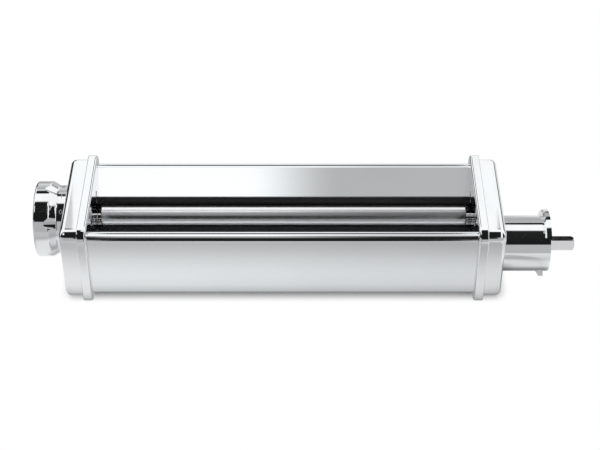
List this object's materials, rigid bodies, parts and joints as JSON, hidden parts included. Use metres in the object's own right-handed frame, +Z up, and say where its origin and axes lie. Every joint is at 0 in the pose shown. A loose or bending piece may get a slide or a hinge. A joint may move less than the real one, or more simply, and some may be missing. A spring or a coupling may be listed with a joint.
{
  "type": "pasta roller attachment",
  "caption": "Low housing with two parallel steel rollers under a sloped feed slot, a thickness knob on one end and a bayonet hub with a square drive tail on the other.",
  "frame": {"origin": "on the table, in the middle of the length over all and of the depth", "axes": "+X along the rollers towards the drive, +Y to the back, +Z up"},
  "size_m": [0.297, 0.0706, 0.0503],
  "materials": {
    "chrome_shell": "mirror chrome plate",
    "panel_sheet": "polished stainless sheet with a faint grain along its length",
    "plate_steel": "bright zinc-plated steel",
    "roller_steel": "ground hard-chrome roller",
    "shaft_steel": "turned bright steel",
    "gear_steel": "sintered steel, oiled",
    "fastener_steel": "zinc-plated steel",
    "bush_bronze": "sintered bronze",
    "scraper_plastic": "plain white acetal"
  },
  "bodies": {
    "frame": {"left_end_cap": "chrome_shell", "right_end_cap": "chrome_shell", "left_side_plate": "plate_steel", "right_side_plate": "plate_steel", "front_panel": "panel_sheet", "rear_panel": "panel_sheet", "rear_lower_tie_rod": "shaft_steel", "rear_upper_tie_rod": "shaft_steel", "front_lower_tie_rod": "shaft_steel", "front_upper_tie_rod": "shaft_steel", "left_tie_screws": "fastener_steel", "right_tie_screws": "fastener_steel", "front_left_bush": "bush_bronze", "front_right_bush": "bush_bronze", "drive_hub": "chrome_shell", "hub_bush": "bush_bronze", "hub_nut": "shaft_steel", "spindle_bush": "bush_bronze", "click_spring": "fastener_steel", "click_rivet": "fastener_steel", "front_scraper_bar": "shaft_steel", "front_scraper": "scraper_plastic"},
    "drive": {"front_roller": "roller_steel", "front_left_journal": "shaft_steel", "drive_shaft": "shaft_steel", "drive_gear": "gear_steel", "drive_gear_clip": "fastener_steel"},
    "carriage": {"left_bearing_slide": "plate_steel", "right_bearing_slide": "plate_steel", "rear_left_bush": "bush_bronze", "rear_right_bush": "bush_bronze", "upper_carriage_bar": "shaft_steel", "lower_carriage_bar": "shaft_steel", "follower_pin": "shaft_steel", "rear_scraper": "scraper_plastic"},
    "idler": {"rear_roller": "roller_steel", "rear_left_journal": "shaft_steel", "rear_right_journal": "shaft_steel", "driven_gear": "gear_steel", "driven_gear_clip": "fastener_steel"},
    "adjuster": {"thickness_knob": "chrome_shell", "knob_plug": "chrome_shell", "knob_screw": "fastener_steel", "knob_spindle": "shaft_steel", "scroll_disc": "gear_steel"}
  },
  "joints": [
    {"name": "drive_spin", "type": "hinge", "parent": "frame", "child": "drive", "pos_m": [0, -0.01025, 0.0224], "axis": [1, 0, 0], "continuous": true},
    {"name": "knob_turn", "type": "hinge", "parent": "frame", "child": "adjuster", "pos_m": [-0.13, 0.01025, 0.0224], "axis": [1, 0, 0], "range_deg": [0, 270], "deforming": ["click_spring"]},
    {"name": "roller_gap", "type": "slide", "parent": "frame", "child": "carriage", "axis": [0, -1, 0], "range_m": [0, 0.0018]},
    {"name": "idler_spin", "type": "hinge", "parent": "carriage", "child": "idler", "pos_m": [0, 0.01115, 0.0224], "axis": [1, 0, 0], "continuous": true}
  ],
  "couplings": [
    {"joint": "knob_turn", "follows": "roller_gap", "rad_per_m": 2618},
    {"joint": "idler_spin", "follows": "drive_spin", "ratio": -1}
  ]
}
